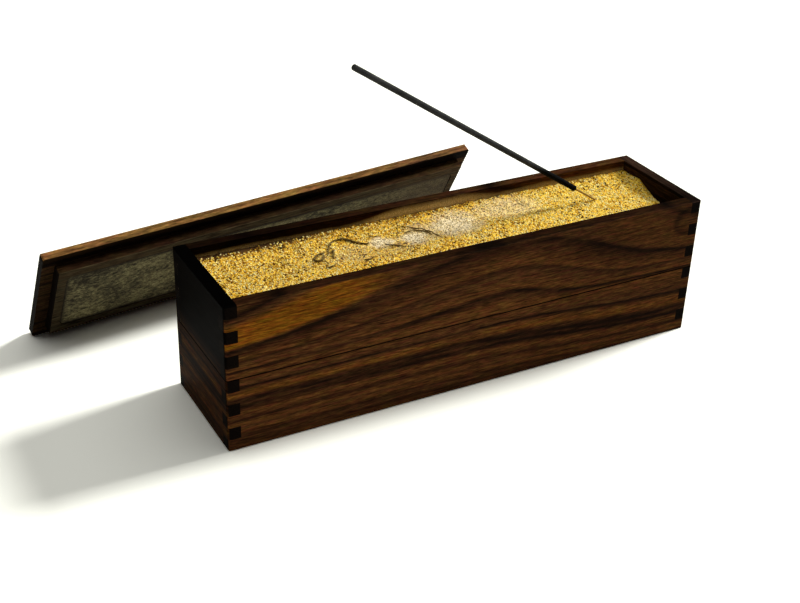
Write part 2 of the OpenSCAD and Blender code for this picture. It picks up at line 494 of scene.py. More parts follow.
        # the loop of the knot is a thin dark ring
        around = point["board"]
        steps = (("MULTIPLY", (1.0, 0.0, 1.0)), ("SUBTRACT", self.knot_at_mm), ("DIVIDE", self.knot_half_mm))
        for operation, term in steps:
            around = add_node(tree, "VectorMath", (around, term), operation=operation)[0]
        reach = add_node(tree, "VectorMath", (around,), operation="LENGTH")["Value"]
        ring = add_node(tree, "ValToRGB", (reach,), stops=self.knot_ring)[0]
        loop = add_node(tree, "Math", (ring, lay.knot), operation="MULTIPLY")[0]

        for share, tone in ((fading, WoodTone.BROWN), (streak, WoodTone.GOLD), (loop, WoodTone.LINE)):
            inputs = {0: share, MIX_A: colour, MIX_B: linear(tone.value)}
            colour = add_node(tree, "Mix", inputs, data_type="RGBA")[MIX_OUT]
        return colour

    def shading(
        self, tree: NodeTree, lay: BoardLay, point: dict[str, NodeSocket]
    ) -> NodeSocket:
        """Makes the wood lighter and darker by its fibres and pores, the seam, smoky darkening, and painted
        shade and light.

        Args:
            tree: node tree of the material.
            lay: how the board was cut from the plank.
            point: sockets with the place on the board and the layers of the grain there, by name.

        Returns:
            Socket with the factor on the colour.
        """
        # the dark line of the seam: grime in the joint and painted shade of the gap between the sections
        over_seam = add_node(tree, "Math", (point["up"], lay.seam_height), operation="SUBTRACT")[0]
        beside = add_node(tree, "Math", (over_seam,), operation="ABSOLUTE")[0]
        # smoke on the rim; smoke and painted shade on the inner sides, lighter and darker along the board by
        # painted light and shade
        left = (self.smoke_and_shade * clear for clear in lay.clear)
        smoke_and_shade_tone = add_node(tree, "MapRange", (point["along"], *lay.clear_mm, *left))[0]
        # painted shade under the lid's rim, almost black
        soot = (point["up"], lay.shade_below, lay.shade_below + self.shade_soft_mm, self.inner_shade, smoke_and_shade_tone)
        inner_shade = add_node(tree, "MapRange", soot)[0]
        rim = (lay.rim_height - soft for soft in self.rim_soft_mm)
        inside = (-lay.inner_depth - soft for soft in self.inner_soft_mm)
        shades = [(point[layer], *shade) for layer, *shade in self.fibre_shades]
        shades += [
            (point["up"], *rim, 1.0, smoke_and_shade_tone),
            (point["through"], *inside, 1.0, inner_shade),
            (beside, *self.seam_mm, self.seam_dark, 1.0),
            (point["along"], *self.darker_mm, 1.0, lay.dark_right),
            # painted shade, darker towards the top of the left end
            (point["up"], *self.shade_above_mm, 1.0, lay.shade_above),
        ]
        tone: Any = lay.shade
        for shade in shades:
            factor = add_node(tree, "MapRange", shade)[0]
            tone = add_node(tree, "Math", (factor, tone), operation="MULTIPLY")[0]
        return tone

    def dust_and_bounce_share(
        self, tree: NodeTree, lay: BoardLay, point: dict[str, NodeSocket]
    ) -> NodeSocket:
        """Spreads grit of the sand and painted bounce light from it over the inner side, in drifts.

        Args:
            tree: node tree of the material.
            lay: how the board was cut from the plank.
            point: sockets with the place on the board and the layers of the grain there, by name.

        Returns:
            Socket with the share of the grit and the painted bounce light.
        """
        aside = add_node(tree, "Math", (point["along"], lay.dust_and_bounce_middle), operation="SUBTRACT")[0]
        away = add_node(tree, "Math", (aside,), operation="ABSOLUTE")[0]
        fall = (away, *self.heap_reach_mm, self.heap_mm, 0.0)
        heap = add_node(tree, "MapRange", fall, interpolation_type="SMOOTHSTEP")[0]
        over_heap = add_node(tree, "Math", (point["up"], heap), operation="SUBTRACT")[0]
        sway = (point["sway"], -self.dust_and_bounce_sway_mm, over_heap)
        drift = add_node(tree, "Math", sway, operation="MULTIPLY_ADD")[0]
        inside = (-lay.inner_depth - soft for soft in self.inner_soft_mm)
        within = add_node(tree, "MapRange", (point["through"], *inside))[0]
        specks = add_node(tree, "MapRange", (point["dots"], *self.dust_and_bounce_specks))[0]
        lying = add_node(tree, "Math", (within, specks), operation="MULTIPLY")[0]
        line = lay.dust_and_bounce_height - self.dust_and_bounce_sway_mm / 2
        return add_node(tree, "MapRange", (drift, line, line + self.dust_and_bounce_mm, lying, 0.0))[0]

    def material(self, name: str, lay: BoardLay) -> Material:
        """Makes the finish for one board.

        Args:
            name: name of the material.
            lay: how the board was cut from the plank.

        Returns:
            The material.
        """
        material, tree = new_material(name)
        place = add_node(tree, "TexCoord")
        board = lay.place(tree, place["Object"])
        along, through, up = add_node(tree, "SeparateXYZ", (board,))
        point = {"board": board, "along": along, "through": through, "up": up}
        for layer, size, detail in self.layers:
            finer = tuple(1 / s for s in size)
            spread = add_node(tree, "VectorMath", (board, finer), operation="MULTIPLY")[0]
            patches = {"Vector": spread, "W": lay.cut, "Scale": 1.0, "Detail": detail}
            patches["Roughness"] = self.layer_roughness
            point[layer] = add_node(tree, "TexNoise", patches, noise_dimensions="4D")[0]
        hues = (hue + lay.yellow for hue in self.hue_range)
        hue = add_node(tree, "MapRange", (point["hue"], *NOISE_SPAN, *hues))[0]
        wood = {"Hue": hue, "Saturation": lay.rich}
        wood["Value"] = self.shading(tree, lay, point)
        wood["Color"] = self.figure(tree, lay, point)
        colour = add_node(tree, "HueSaturation", wood)[0]

        # dust of the slate stays in the fibres around the tile
        most = add_node(tree, "MapRange", (point["fibres"], *self.rubbed))[0]
        depth = lay.rubbed_depth
        rubbed = add_node(tree, "MapRange", (through, depth, depth + self.rubbed_soft_mm, 0.0, most))[0]

        # the cut ends show round pores and are almost black
        facing = (place["Normal"], lay.grain_axis())
        across = add_node(tree, "VectorMath", facing, operation="DOT_PRODUCT")["Value"]
        square = add_node(tree, "Math", (across,), operation="ABSOLUTE")[0]
        is_end = add_node(tree, "MapRange", (square, *self.end_facing))[0]
        dots = add_node(tree, "MapRange", (point["dots"], *NOISE_SPAN, *self.end_dots))[0]
        oiled = {0: linear(WoodTone.CUT_END.value)[:3], "Scale": dots}
        cut_end = add_node(tree, "VectorMath", oiled, operation="SCALE")[0]

        # dust of sand and painted bounce light from the sand on the inner walls
        dust_and_bounce_cover = (self.dust_and_bounce_share(tree, lay, point), linear(self.dust_and_bounce))
        for share, cover in (dust_and_bounce_cover, (rubbed, linear(self.stone)), (is_end, cut_end)):
            inputs = {0: share, MIX_A: colour, MIX_B: cover}
            colour = add_node(tree, "Mix", inputs, data_type="RGBA")[MIX_OUT]
        satin = add_node(tree, "MapRange", (point["fibres"], 0.0, 1.0, *self.roughness))[0]
        height = add_node(tree, "Math", (point["pores"], -1.0, point["fibres"]), operation="MULTIPLY_ADD")[0]
        shine = {"Roughness": satin, "IOR": self.ior, "Specular IOR Level": self.specular}
        close_finish(tree, colour, height, self.relief, shine)
        return material


@dataclass(frozen=True)
class Slate:
    """Natural cleft slate: a dull grey stone with an olive cast, split along its layers.

    To the eye that is a matt, mottled face with pale green-gold flecks and small steps, browner towards one
    end and dark with soot and oil along its edges.
    """

    # colour of the stone by its mottling
    tones: tuple[tuple[float, str], ...] = ((0.41, "#2a2417"), (0.49, "#524c34"), (0.6, "#887f56"))
    rust: str = "#4e4029"
    stain: str = "#463722"
    soot: str = "#170e08"
    roughness: float = 0.8
    ior: float = 1.5
    specular: float = 0.1
    relief: tuple[float, float] = (0.6, 0.5)
    half_length: float = 119.95
    half_width: float = 20.45
    # dirt lies along the edges in this width; how strongly it keeps to them, and how ragged the mottling
    # makes it
    soot_width: float = 3.0
    soot_reach: float = 1.4
    soot_ragged: tuple[float, float] = (1.8, -2.2)
    # the stone is browner between these places along the tile, by this share, and its patches are drawn
    # out along it
    brown_mm: tuple[float, float] = (40.0, 95.0)
    brown: float = 0.75
    drawn_out: float = 2.0
    # tone of the grit; the depth of one split layer, and the thin dark line along its broken edge
    grit: tuple[float, float, float, float] = (0.25, 0.75, 0.3, 1.7)
    split: float = 0.09
    broken: tuple[float, float, float] = (0.0, 0.014, 0.45)
    # size of the patches in each layer of the stone and how finely they break up
    layers: tuple[tuple[str, float, float], ...] = (
        ("clouds", 14.0, 6.0),
        ("flecks", 1.2, 3.0),
        ("grit", 0.4, 2.0),
        ("steps", 11.0, 3.0),
    )
    layer_roughness: float = 0.65

    def material(self, name: str, lay: BoardLay) -> Material:
        """Makes the stone.

        Args:
            name: name of the material.
            lay: place and turn of the tile.

        Returns:
            The material.
        """
        material, tree = new_material(name)
        tile = lay.place(tree, add_node(tree, "TexCoord")["Object"])
        drawn = add_node(tree, "VectorMath", (tile, (1 / self.drawn_out, 1.0, 1.0)), operation="MULTIPLY")[0]
        stone = {}
        for layer, size, detail in self.layers:
            patches = {"Vector": drawn, "Scale": 1 / size, "Detail": detail}
            patches["Roughness"] = self.layer_roughness
            stone[layer] = add_node(tree, "TexNoise", patches)[0]
        mottled = add_node(tree, "Math", (stone["clouds"], stone["flecks"]), operation="ADD")[0]
        half_mix = add_node(tree, "Math", (mottled, 0.5), operation="MULTIPLY")[0]
        body = add_node(tree, "ValToRGB", (half_mix,), stops=self.tones)[0]

        # browner towards the right end, with grit, and dark lines where a layer broke off
        along, _, over = add_node(tree, "SeparateXYZ", (tile,))
        brown = add_node(tree, "MapRange", (along, *self.brown_mm, 0.0, self.brown))[0]
        aged = {0: brown, MIX_A: body, MIX_B: linear(self.rust)}
        face = add_node(tree, "Mix", aged, data_type="RGBA")[MIX_OUT]
        between = add_node(tree, "Math", (stone["steps"], self.split), operation="PINGPONG")[0]
        for shade in ((stone["grit"], *self.grit), (between, *self.broken)):
            tone = add_node(tree, "MapRange", shade)[0]
            face = add_node(tree, "VectorMath", {0: face, "Scale": tone}, operation="SCALE")[0]

        # dirty along the edges
        edge: Any = 0.0
        for value, half in ((along, self.half_length), (over, self.half_width)):
            away = add_node(tree, "Math", (value,), operation="ABSOLUTE")[0]
            near = add_node(tree, "MapRange", (away, half - self.soot_width, half))[0]
            edge = add_node(tree, "Math", (near, edge), operation="MAXIMUM")[0]
        ragged = add_node(tree, "Math", (mottled, *self.soot_ragged), operation="MULTIPLY_ADD")[0]
        reach = (edge, self.soot_reach, ragged)
        reached = add_node(tree, "Math", reach, operation="MULTIPLY_ADD", use_clamp=True)[0]
        dirty = {0: brown, MIX_A: linear(self.soot), MIX_B: linear(self.stain)}
        dirt = add_node(tree, "Mix", dirty, data_type="RGBA")[MIX_OUT]
        colour = add_node(tree, "Mix", {0: reached, MIX_A: face, MIX_B: dirt}, data_type="RGBA")[MIX_OUT]
        height = add_node(tree, "Math", (mottled, stone["grit"]), operation="ADD")[0]
        shine = {"Roughness": self.roughness, "IOR": self.ior, "Specular IOR Level": self.specular}
        close_finish(tree, colour, height, self.relief, shine)
        return material


@dataclass(frozen=True)
class GoldenSand:
    """Coarse unwashed quartz sand: loose grains of about a millimetre, honey, cream, rust and a few black.

    Where sticks have burned, pale grey-beige ash powder lies over the grains. Each grain's own tint and the
    share of ash on it come from the piece's attributes.
    """

    # colour of a grain by its tint, from the shadow between grains to cream
    tones: tuple[tuple[float, str], ...] = (
        (0.0, "#382208"),
        (0.06, "#644208"),
        (0.14, "#b47e18"),
        (0.3, "#fcce42"),
        (0.5, "#ffe25c"),
        (0.85, "#fff2a8"),
    )
    ash: str = "#ecdbb2"
    roughness: float = 0.75
    ior: float = 1.54
    specular: float = 0.1
    relief: tuple[float, float] = (0.3, 0.1)
    # size of the specks on the grains, how finely they break up, and their tone
    speck_mm: float = 0.9
    speck_detail: float = 2.0
    specks: tuple[float, float, float, float] = (0.25, 0.75, 0.55, 1.4)

    def material(self, name: str) -> Material:
        """Makes the finish.

        Args:
            name: name of the material.

        Returns:
            The material.
        """
        material, tree = new_material(name)
        tint = add_node(tree, "Attribute", attribute_name="tint")["Fac"]
        ash = add_node(tree, "Attribute", attribute_name="ash")["Fac"]
        place = add_node(tree, "TexCoord")["Object"]
        body = add_node(tree, "ValToRGB", (tint,), stops=self.tones)[0]
        patches = {"Vector": place, "Scale": 1 / (self.speck_mm * MM), "Detail": self.speck_detail}
        speck = add_node(tree, "TexNoise", patches)[0]
        tone = add_node(tree, "MapRange", (speck, *self.specks))[0]
        dusted = {0: ash, MIX_A: body, MIX_B: linear(self.ash)}
        dusty = add_node(tree, "Mix", dusted, data_type="RGBA")[MIX_OUT]
        colour = add_node(tree, "VectorMath", {0: dusty, "Scale": tone}, operation="SCALE")[0]
        shine = {"Roughness": self.roughness, "IOR": self.ior, "Specular IOR Level": self.specular}
        close_finish(tree, colour, speck, self.relief, shine)
        return material


@dataclass(frozen=True)
class Powder:
    """Pressed or fallen powder, such as incense paste and its ash: dull, uneven and without shine.

    Paste is black with resin below the first of two heights over the ground, and plain above the second.
    """

    dark: str
    light: str
    patch_mm: float
    grit_mm: float
    resin_mm: tuple[float, float] = (-2.0, -1.0)
    resin_shade: float = 0.04
    # patches and grit together go from dark to light between these values
    mottling: tuple[float, float] = (0.75, 1.25)
    patch_detail: float = 4.0
    patch_roughness: float = 0.6
    grit_detail: float = 3.0
    roughness: float = 0.95
    specular: float = 0.08
    relief: tuple[float, float] = (0.6, 0.2)

    def material(self, name: str) -> Material:
        """Makes the finish.

        Args:
            name: name of the material.

        Returns:
            The material.
        """
        material, tree = new_material(name)
        place = add_node(tree, "TexCoord")["Object"]
        coarse = {"Vector": place, "Scale": 1 / (self.patch_mm * MM), "Detail": self.patch_detail}
        coarse["Roughness"] = self.patch_roughness
        patches = add_node(tree, "TexNoise", coarse)[0]
        fine = {"Vector": place, "Scale": 1 / (self.grit_mm * MM), "Detail": self.grit_detail}
        grit = add_node(tree, "TexNoise", fine)[0]
        both = add_node(tree, "Math", (patches, grit), operation="ADD")[0]
        share = add_node(tree, "MapRange", (both, *self.mottling))[0]
        powder = {0: share, MIX_A: linear(self.dark), MIX_B: linear(self.light)}
        mixed = add_node(tree, "Mix", powder, data_type="RGBA")[MIX_OUT]
        height = add_node(tree, "SeparateXYZ", (place,))["Z"]
        levels = (MM * level for level in self.resin_mm)
        resin = add_node(tree, "MapRange", (height, *levels, self.resin_shade))[0]
        colour = add_node(tree, "VectorMath", {0: mixed, "Scale": resin}, operation="SCALE")[0]
        shine = {"Roughness": self.roughness, "Specular IOR Level": self.specular}
        close_finish(tree, colour, grit, self.relief, shine)
        return material


@dataclass(frozen=True)
class Bamboo:
    """Raw split bamboo: a straw-coloured splint with darker fibres along its length, slightly smooth."""

    pale: str = "#c09a3c"
    dark: str = "#6a5020"
    roughness: float = 0.6
    specular: float = 0.35
    relief: tuple[float, float] = (0.4, 0.1)
    # size of a fibre along and across the splint, how finely it breaks up, and where it turns from dark
    # to pale
    fibre_mm: tuple[float, float, float] = (12.0, 0.25, 0.25)
    fibre_detail: float = 3.0
    fibre_span: tuple[float, float] = (0.3, 0.65)

    def material(self, name: str, lay: BoardLay) -> Material:
        """Makes the finish.

        Args:
            name: name of the material.
            lay: place and turn of the splint, with its length along the lay's x.

        Returns:
            The material.
        """
        material, tree = new_material(name)
        splint = lay.place(tree, add_node(tree, "TexCoord")["Object"], self.fibre_mm)
        strands = {"Vector": splint, "Scale": 1.0, "Detail": self.fibre_detail}
        fibres = add_node(tree, "TexNoise", strands)[0]
        share = add_node(tree, "MapRange", (fibres, *self.fibre_span))[0]
        straw = {0: share, MIX_A: linear(self.dark), MIX_B: linear(self.pale)}
        colour = add_node(tree, "Mix", straw, data_type="RGBA")[MIX_OUT]
        shine = {"Roughness": self.roughness, "Specular IOR Level": self.specular}
        close_finish(tree, colour, fibres, self.relief, shine)
        return material


class Side(Enum):
    """The walls and the floor of a section, by how each was laid on the plank."""

    FRONT = "front"
    BACK = "back"
    LEFT = "left"
    RIGHT = "right"
    FLOOR = "floor"


@dataclass
class Section:
    """One of the two finger-jointed sections of the box: four walls and a floor board."""

    prefix: str
    cut: float
    # smoke reaches the rim of a section that holds sand, smoke and painted shade darken its inner sides, and
    # dust of the sand with painted bounce light from the sand lies on them: the height of the rim, the depth
    # of the long and the short inner sides, and the height of the sand
    rim_mm: float = NOWHERE
    inner_mm: tuple[float, float] = (-NOWHERE, -NOWHERE)
    sand_mm: float = -NOWHERE
    seam_mm: float = 38.1
    # the back board was cut from a part of the plank that lies this much higher
    raised_mm: float = 4.0
    edge_mm: float = 0.16
    walnut: Walnut = Walnut()

    def lay(self, side: Side) -> BoardLay:
        """Says how a board was cut.

        Args:
            side: which board of the section.

        Returns:
            Its place on the plank.
        """
        quarter = math.pi / 2
        inner_wide, inner_long = self.inner_mm
        wall = {"rim_height": self.rim_mm, "seam_height": self.seam_mm}
        raised = {key: height + self.raised_mm for key, height in wall.items()}
        lays = {
            Side.FRONT: BoardLay(
                crown=1.0, streak=1.0, knot=0.6, dark_right=0.85, inner_depth=inner_wide,
                dust_and_bounce_height=self.sand_mm, **wall,
            ),
            # the back wall: painted shade darkens its rim and inner side towards the left end, painted light
            # lightens them towards the right, and the heap of dust and painted bounce light lies in the
            # middle
            Side.BACK: BoardLay(
                (-20.0, 0.0, -self.raised_mm), (0.0, 0.0, math.pi), cut=3.1, crown=0.9, streak=0.5,
                shade=0.95, inner_depth=inner_wide, dust_and_bounce_height=self.sand_mm + self.raised_mm,
                dust_and_bounce_middle=-23.0, clear_mm=(-140.0, 60.0), clear=(3.6, 0.3), **raised,
            ),
            # painted shade: the left end is darker, and almost black above its lower part
            Side.LEFT: BoardLay(
                turn=(0.0, 0.0, -quarter), cut=5.7, shade=0.55, shade_above=0.02, inner_depth=inner_long,
                **wall,
            ),
            # painted sheen: the lower saturation greys the right end's rim; painted light and shade change
            # the tone of its rim and inner side along the grain
            Side.RIGHT: BoardLay(
                turn=(0.0, 0.0, quarter), cut=9.3, shade=0.8, rich=0.8, inner_depth=inner_long,
                clear_mm=(-24.0, 24.0), clear=(0.65, 2.7), **wall,
            ),
            Side.FLOOR: BoardLay(turn=(-quarter, 0.0, 0.0), cut=12.9 + self.cut, shade=1.1),
        }
        return lays[side]

    def build(self) -> Iterable[Object]:
        """Sands and oils the boards that come from the CAD model.

        Returns:
            The dressed boards.
        """
        boards = []
        for side in Side:
            name = f"{self.prefix}_{side.value}"
            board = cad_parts[name]
            ease_edges(board, self.edge_mm)
            dress(board, self.walnut.material(f"oiled_walnut_{name}", self.lay(side)))
            boards.append(board)
        return boards


@dataclass(frozen=True)
class AshThread:
    """A thread of ash that fell off a burning stick: the places that it lies over, in millimetres."""

    route: tuple[tuple[float, float], ...]
    thick: float


@dataclass
class SandFill:
    """The sand in the tray, with its loose grains and the ash that lies on it. Sizes are in millimetres."""

    length: float = 250.8
    width: float = 51.8
    seed: int = 7
    finish: GoldenSand = GoldenSand()
    fallen_ash: Powder = Powder("#46371a", "#86703c", 4.0, 0.5)
    # the long swells of the CAD solid: their height, how far they tilt to the back, and for each wave its
    # share and the degrees that it runs through along the tray, across it and at its start
    middle_z: float = 68.2
    swell: float = 1.8
    tilt: float = 0.42
    waves: tuple[tuple[float, float, float, float], ...] = (
        (0.3, 200.0, 0.0, 20.0),
        (0.18, 430.0, -60.0, 0.0),
        (0.1, 150.0, 300.0, 90.0),
    )
    # the sand is banked up against the back wall: where the bank begins across the tray, its height, its
    # unevenness and the length of that
    bank_from: float = 12.0
    bank_z: float = 70.9
    bank_uneven: float = 0.8
    bank_run: float = 4.0
    # at the right end it rises a little and falls from the back corner to the front one: where that
    # begins along the tray, how far it falls and rises, and between which places across the tray it falls
    fall_from: float = 106.0
    fall: float = 6.5
    fall_rise: float = 3.0
    fall_across: tuple[float, float] = (12.0, -7.0)
    # the bed under the grains: size of its cells, how far it lies under them, its tint, and the size, the
    # draw and the strength of each layer of its roughness
    cell: float = 0.8
    bed_under: float = 0.1
    bed_tint: tuple[float, float] = (0.03, 0.31)
    bed_rough: tuple[tuple[float, float, float], ...] = ((1.1, 1.0, 0.2), (6.0, 2.0, 0.3))
    # the grains: their spacing, radius, reach, form and depth as shares of the radius, and their room at
    # the walls
    spacing: float = 0.86
    grain: tuple[float, float] = (0.3, 0.56)
    grain_reach: float = 1.3
    grain_form: tuple[float, float] = (0.75, 1.25)
    grain_sunk: tuple[float, float] = (-0.8, 0.1)
    wall_clear: float = 0.12
    # the stick stands in a hollow: its place and radius
    hollow: tuple[float, float, float] = (92.2, 5.0, 1.1)
    # share of dark grains, and how far the tint of the others drifts over what distances along and across
    dark_grains: float = 0.06
    drift: float = 0.15
    drift_mm: tuple[float, float] = (14.0, 9.0)
    # share of the grains that ash covers, and that are missing beside the back wall
    ash_covers: float = 0.45
    wall_bares: float = 0.9
    # dark shade along the back wall: where it begins across the tray, between which places it fades along
    # the tray, and what stays of it
    shade_from: float = 21.5
    shade_ends: tuple[float, float] = (-85.0, -50.0)
    shade_least: float = 0.25
    # the sand is cleaner and more even to the right, between these places, and its grains are larger
    clean_ends: tuple[float, float] = (0.0, 70.0)
    clean_tint: tuple[float, float] = (0.09, 1.0)
    clean_bed: float = 0.1
    clean_size: float = 1.2
    # close to the right wall the grains are a deeper yellow, a painted warm light in the shadow of the wall:
    # between which places, and by how much
    deep_ends: tuple[float, float] = (113.0, 117.0)
    deep: float = 0.12
    # middle, half length, half width and strength of each patch of ash, how far it reaches past its size,
    # and the size, the draw and the strength of each layer of its ragged edge
    patches: tuple[tuple[float, float, float, float, float], ...] = (
        (-33.0, 8.5, 7.5, 5.5, 0.9),
        (-16.0, 6.0, 8.0, 7.5, 0.95),
        (-8.0, 9.0, 13.0, 10.0, 0.5),
        (9.5, 10.0, 16.0, 12.5, 0.85),
        (42.0, 14.0, 22.0, 11.0, 0.5),
        (-40.0, 4.0, 32.0, 10.0, 0.15),
    )
    patch_reach: float = 1.25
    patch_rags: tuple[tuple[float, float, float], ...] = ((5.0, 3.0, 0.45), (1.7, 8.0, 0.3))
    # threads of ash: how high they lie, their radius as a share of their thickness, what is left of it at
    # their ends, and the size and strength of each layer of their roughness
    threads: tuple[AshThread, ...] = (
        AshThread(((-63.5, 6.0), (-61.0, 10.0), (-59.0, 14.5), (-56.0, 18.0), (-52.0, 18.5)), 1.1),
        AshThread(
            ((-55.0, 18.0), (-51.0, 18.5), (-48.0, 16.5), (-45.5, 13.0), (-42.5, 10.5), (-40.0, 9.0)), 1.6
        ),
        AshThread(((-63.5, 9.0), (-68.0, 8.5), (-71.5, 5.0), (-70.0, 2.0), (-67.0, 3.5), (-65.5, 6.5)), 1.5),
        AshThread(((-66.5, 3.0), (-67.0, 0.5), (-66.5, -1.5)), 1.1),
        AshThread(((-59.0, 10.5), (-60.0, 7.0), (-62.0, 3.0)), 1.9),
        AshThread(((-69.0, -3.5), (-65.5, -5.0), (-63.5, -2.5)), 1.3),
        AshThread(((-48.5, -3.5), (-46.0, -4.8), (-43.5, -3.8)), 1.5),
        AshThread(((-32.5, 5.5), (-28.0, 2.0), (-24.5, -1.0)), 1.3),
        AshThread(((-37.5, 14.0), (-36.0, 15.5), (-35.5, 18.0)), 0.9),
        AshThread(((-36.0, 15.5), (-34.0, 14.5), (-31.0, 14.8)), 0.8),
        AshThread(((-18.5, 19.5), (-21.0, 14.5), (-23.5, 9.0)), 0.7),
        AshThread(((-18.0, 19.0), (-13.0, 16.0), (-8.5, 11.5), (-6.0, 7.0), (-5.0, 2.5), (-4.0, -1.0)), 0.9),
        AshThread(((-19.0, 11.5), (-14.5, 13.2), (-10.0, 11.0), (-7.8, 8.0), (-7.3, 4.5)), 0.9),
        AshThread(((-74.5, 25.0), (-74.5, 18.0), (-74.0, 10.0)), 0.6),
        AshThread(((-82.0, 21.5), (-80.5, 20.0), (-79.0, 20.5)), 1.3),
        AshThread(((-86.0, 12.0), (-84.0, 12.8)), 0.9),
    )
    thread_over: float = 0.55
    thread_radius: float = 0.72
    thread_end: float = 0.55
    thread_rough: tuple[tuple[float, float], ...] = ((2.6, 0.45), (0.7, 0.2))
    # with this seed the roughness keeps the threads close to their routes and over the sand
    thread_seed: int = 35

    def swells(self, x: float, y: float) -> float:
        """Height of the CAD solid's surface by its long swells.

        Args:
            x: place along the tray.
            y: place across the tray.

        Returns:
            Height over the ground.
        """
        u = 2 * x / self.length
        v = 2 * y / self.width
        lift = self.tilt * v
        for share, along, across, start in self.waves:
            lift += share * math.sin(math.radians(along * u + across * v + start))
        return self.middle_z + self.swell * lift

    def height(self, x: float, y: float) -> float:
        """Height of the sand over the ground.

        Args:
            x: place along the tray.
            y: place across the tray.

        Returns:
            The CAD solid's swells with the bank against the back wall and the fall at the right end.
        """
        half = self.width / 2
        near = part_way(y, self.bank_from, half)
        crest = self.bank_z + self.bank_uneven * noise.noise(Vector((x / self.bank_run, 0.0, 6.0)))
        banked = self.swells(x, y) + near * near * (crest - self.swells(x, half))
        end = part_way(x, self.fall_from, self.length / 2)
        down = part_way(y, *self.fall_across)
        return banked + end ** 2 * self.fall_rise * (1.0 - near) - end ** 4 * self.fall * down

    def uneven(self, x: float, y: float, layers: Sequence[tuple[float, float, float]]) -> float:
        """Sums up layers of noise at a place.

        Args:
            x: place along the tray.
            y: place across the tray.
            layers: the size, the draw and the strength of each layer.

        Returns:
            The sum, about 0 on average.
        """
        return sum(most * noise.noise(Vector((x / size, y / size, draw))) for size, draw, most in layers)

    def ash_share(self, x: float, y: float) -> float:
        """How much ash lies at a place.

        Args:
            x: place along the tray.
            y: place across the tray.

        Returns:
            Share of ash, from 0 for clean sand to 1.
        """
        ragged = self.uneven(x, y, self.patch_rags)
        share = 0.0
        for px, py, long, wide, most in self.patches:
            reach = ((x - px) / long) ** 2 + ((y - py) / wide) ** 2
            share = max(share, most * part_way(self.patch_reach - reach + ragged, 0.0, 1.0))
        return share

    def wall_shade(self, x: float, y: float) -> float:
        """How dark the sand is beside the back wall.

        Args:
            x: place along the tray.
            y: place across the tray.

        Returns:
            Share of shade, from 0 in the open to 1.
        """
        near = part_way(y, self.shade_from, self.width / 2)
        fade = part_way(x, *reversed(self.shade_ends))
        return near * (self.shade_least + (1.0 - self.shade_least) * fade)

    def cleanness(self, x: float) -> float:
        """How clean the sand is: 0 up to the ash, and 1 towards the right end."""
        return part_way(x, *self.clean_ends)

    def grain_tint(self, chance: float, x: float, y: float) -> float:
        """Chooses the tint of a grain.

        Args:
            chance: a random number from 0 to 1.
            x: place along the tray.
            y: place across the tray.

        Returns:
            The tint, darkest at 0.
        """
        if chance <= self.dark_grains:
            return chance
        along, across = self.drift_mm
        tint = chance + self.drift * noise.noise(Vector((x / along, y / across, 5.0)))
        low, high = self.clean_tint
        tint += (low + tint * (high - low) - tint) * self.cleanness(x)
        # a deeper yellow close to the right wall paints warm light in its shadow
        return tint * (1.0 - self.deep * part_way(x, *self.deep_ends))

    def mark(self, piece: Object, tints: Sequence[float]) -> None:
        """Stores each point's tint and its share of ash on the piece.

        Args:
            piece: a piece of sand.
            tints: a tint from 0 to 1 for each point.
        """
        piece.data.attributes.new("tint", "FLOAT", "POINT").data.foreach_set("value", list(tints))
        ash = []
        for point in piece.data.vertices:
            x = point.co.x / MM
            y = point.co.y / MM
            ash.append(self.ash_share(x, y) * (1.0 - self.wall_shade(x, y)))
        piece.data.attributes.new("ash", "FLOAT", "POINT").data.foreach_set("value", ash)

    def bed(self) -> Object:
        """Makes the body of the sand with its uneven top.

        Returns:
            The piece, in place of the CAD solid.
        """
        low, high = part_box("sand_bed")
        shape = bmesh.new()
        bmesh.ops.create_grid(
            shape, x_segments=int(self.length / self.cell), y_segments=int(self.width / self.cell), size=0.5
        )
        bmesh.ops.scale(shape, vec=(high[0] - low[0], high[1] - low[1], 1.0), verts=shape.verts)
        for point in shape.verts:
            x = point.co.x / MM
            y = point.co.y / MM
            rough = self.uneven(x, y, self.bed_rough)
            point.co.z = (self.height(x, y) - self.bed_under + rough) * MM
        rim = [edge for edge in shape.edges if edge.is_boundary]
        sides = bmesh.ops.extrude_edge_only(shape, edges=rim)["geom"]
        for item in sides:
            if isinstance(item, bmesh.types.BMVert):
                item.co.z = low[2]
        foot = [item for item in sides if isinstance(item, bmesh.types.BMEdge) and item.is_boundary]
        bmesh.ops.contextual_create(shape, geom=foot)
        bmesh.ops.recalc_face_normals(shape, faces=shape.faces)
        draw = random.Random(self.seed)
        piece = finish_mesh("sand_heap", shape, True)
        least, span = self.bed_tint
        tints = []
        for point in piece.data.vertices:
            shade = self.wall_shade(point.co.x / MM, point.co.y / MM)
            tint = least + span * draw.random() + self.clean_bed * self.cleanness(point.co.x / MM)
            tints.append(tint * (1.0 - shade) ** 2)
        self.mark(piece, tints)
        return piece

